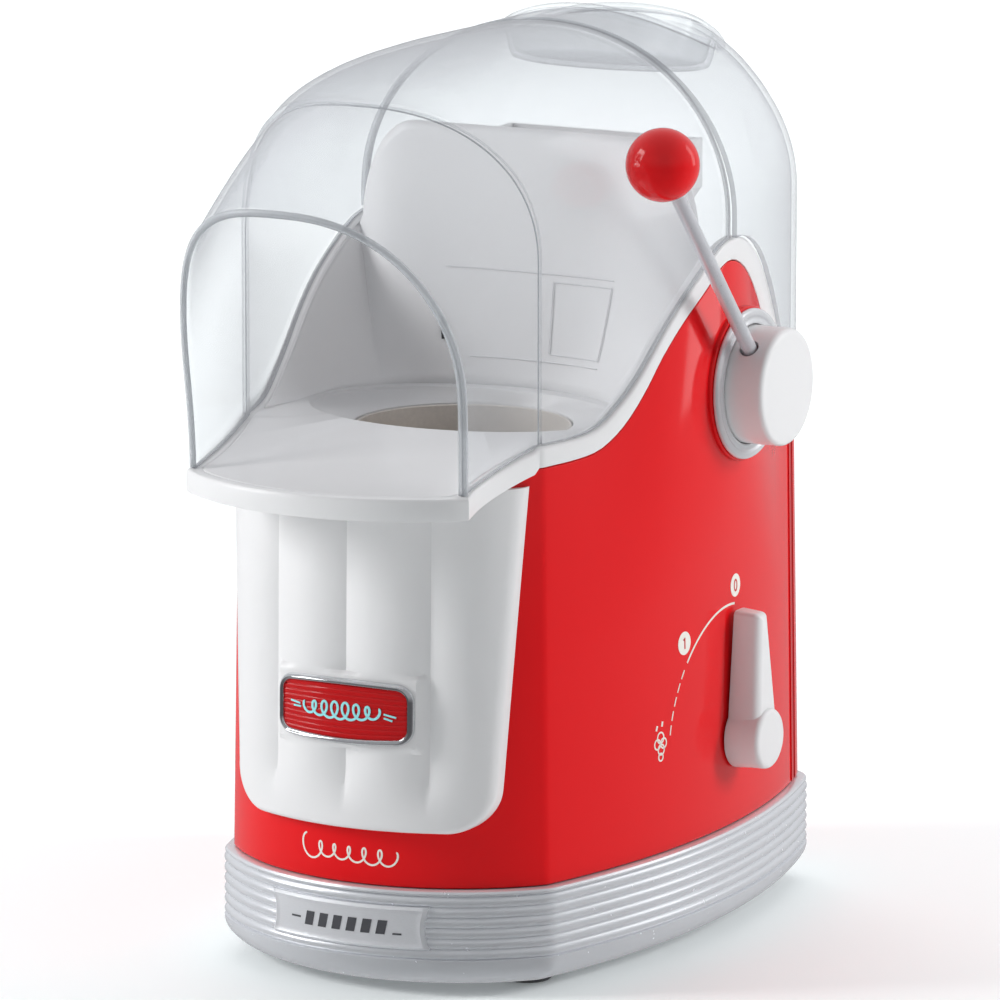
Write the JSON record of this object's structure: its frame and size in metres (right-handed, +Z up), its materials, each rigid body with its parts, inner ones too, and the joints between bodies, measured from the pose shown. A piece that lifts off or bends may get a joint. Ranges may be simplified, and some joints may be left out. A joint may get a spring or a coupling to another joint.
{
  "type": "popcorn maker",
  "caption": "Hot-air popcorn maker with a clear domed hood and open mouth, a red body on a ribbed silver base, a side dosing lever with a ball knob and a rotary pointer switch",
  "frame": {"origin": "on the worktop, under the centre of the bounding box", "axes": "+Z up, -Y the front with the mouth, +X the side with the lever and the switch"},
  "size_m": [0.2027, 0.333, 0.3666],
  "materials": {
    "red_gloss": "high-gloss red shell and knobs",
    "white_plastic": "satin white moulded plastic",
    "silver_paint": "silver metallic paint",
    "clear_plastic": "clear, faintly grey moulded polycarbonate",
    "steel": "plain steel",
    "chrome": "bright chrome rim",
    "black_plastic": "black moulded plastic",
    "rubber": "dark soft rubber",
    "aluminium": "pressed aluminium, slightly dulled by heat",
    "mica": "tan mica sheet",
    "brass": "plain brass",
    "heater_wire": "oxidised resistance wire",
    "circuit_board": "green circuit board"
  },
  "bodies": {
    "housing": {"base_shell": "silver_paint", "nameplate": "silver_paint", "foot_1": "rubber", "foot_2": "rubber", "foot_3": "rubber", "foot_4": "rubber", "base_screw_1": "steel", "base_screw_2": "steel", "base_screw_3": "steel", "base_screw_4": "steel", "cord_gland": "rubber", "body_shell": "red_gloss", "front_panel": "white_plastic", "badge_bezel": "chrome", "badge_insert": "red_gloss", "collar_tray": "white_plastic", "chute_wall": "white_plastic", "rear_hood": "clear_plastic", "kernel_hopper": "white_plastic", "dosing_housing": "white_plastic", "kernel_chute": "white_plastic", "lever_ring": "silver_paint", "shaft_bush": "black_plastic", "switch_body": "black_plastic", "switch_nut": "brass", "popping_chamber": "aluminium", "chamber_sleeve": "aluminium", "heater_former": "mica", "heater_coil": "heater_wire", "thermostat": "black_plastic", "thermal_fuse": "steel", "fan_casing": "black_plastic", "motor_can": "steel", "motor_bracket": "steel", "motor_grommet_1": "rubber", "motor_grommet_2": "rubber", "rectifier_board": "circuit_board", "terminal_block": "white_plastic"},
    "lever": {"lever_hub": "white_plastic", "lever_rod": "steel", "lever_ball": "red_gloss", "lever_shaft": "steel", "shaft_clip": "steel", "dosing_drum": "white_plastic"},
    "switch": {"switch_knob": "white_plastic", "switch_spindle": "brass"},
    "fan": {"fan_impeller": "black_plastic", "motor_shaft": "steel"},
    "hood": {"front_hood": "clear_plastic"},
    "cap": {"filler_cap": "clear_plastic"}
  },
  "joints": [
    {"name": "lever_turn", "type": "hinge", "parent": "housing", "child": "lever", "pos_m": [-0.0089, 0.06355, 0.2216], "axis": [1, 0, 0], "range_deg": [-95, 0]},
    {"name": "switch_turn", "type": "hinge", "parent": "housing", "child": "switch", "pos_m": [-0.0089, 0.05455, 0.0793], "axis": [1, 0, 0], "range_deg": [0, 90]},
    {"name": "fan_spin", "type": "hinge", "parent": "housing", "child": "fan", "pos_m": [-0.0089, -0.01445, 0.068], "axis": [0, 0, 1], "continuous": true},
    {"name": "hood_lift", "type": "slide", "parent": "housing", "child": "hood", "axis": [0, 0, 1], "range_m": [0, 0.2]},
    {"name": "cap_lift", "type": "slide", "parent": "housing", "child": "cap", "axis": [0, 0, 1], "range_m": [0, 0.12]}
  ]
}
